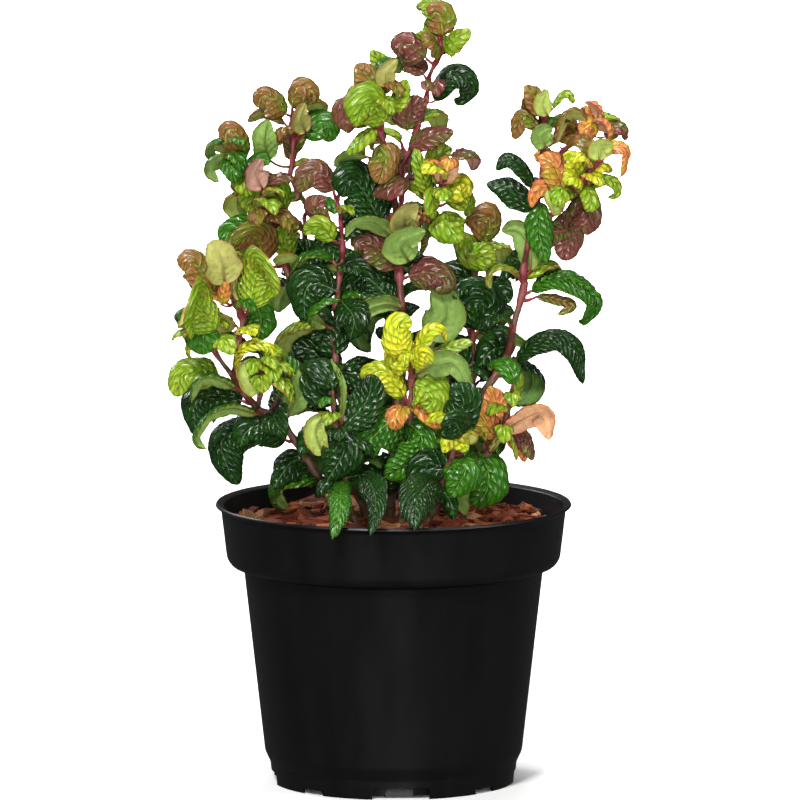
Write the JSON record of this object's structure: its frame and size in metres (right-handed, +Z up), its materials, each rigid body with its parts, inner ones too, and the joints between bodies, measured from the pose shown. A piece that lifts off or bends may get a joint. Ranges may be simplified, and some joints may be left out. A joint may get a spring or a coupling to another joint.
{
  "type": "potted lophomyrtus",
  "caption": "Bushy evergreen shrub with curled, puckered leaves in green, yellow and maroon, in a black nursery pot with bark mulch.",
  "frame": {"origin": "on the ground under the middle of the pot", "axes": "+Z up along the pot's axis, the pictured side of the plant towards -Y"},
  "size_m": [0.2418, 0.2188, 0.4173],
  "materials": {
    "pot": "satin black injection-moulded polypropylene",
    "soil": "dark, crumbly peat-free potting soil, at the density of damp soil",
    "bark": "red-brown composted bark chips",
    "leaf": "glossy, puckered leaves, from deep green to yellow-green with maroon, on woody red-brown stems"
  },
  "bodies": {
    "root": {"pot": "pot", "soil": "soil", "bark_mulch": "bark", "centre_shoot": "leaf", "left_shoot": "leaf", "left_low_shoot": "leaf", "right_shoot": "leaf", "right_low_shoot": "leaf", "front_shoot": "leaf", "front_left_shoot": "leaf", "front_right_shoot": "leaf", "inner_left_shoot": "leaf", "inner_right_shoot": "leaf", "back_left_shoot": "leaf", "back_shoot": "leaf", "back_right_shoot": "leaf"}
  },
  "joints": []
}
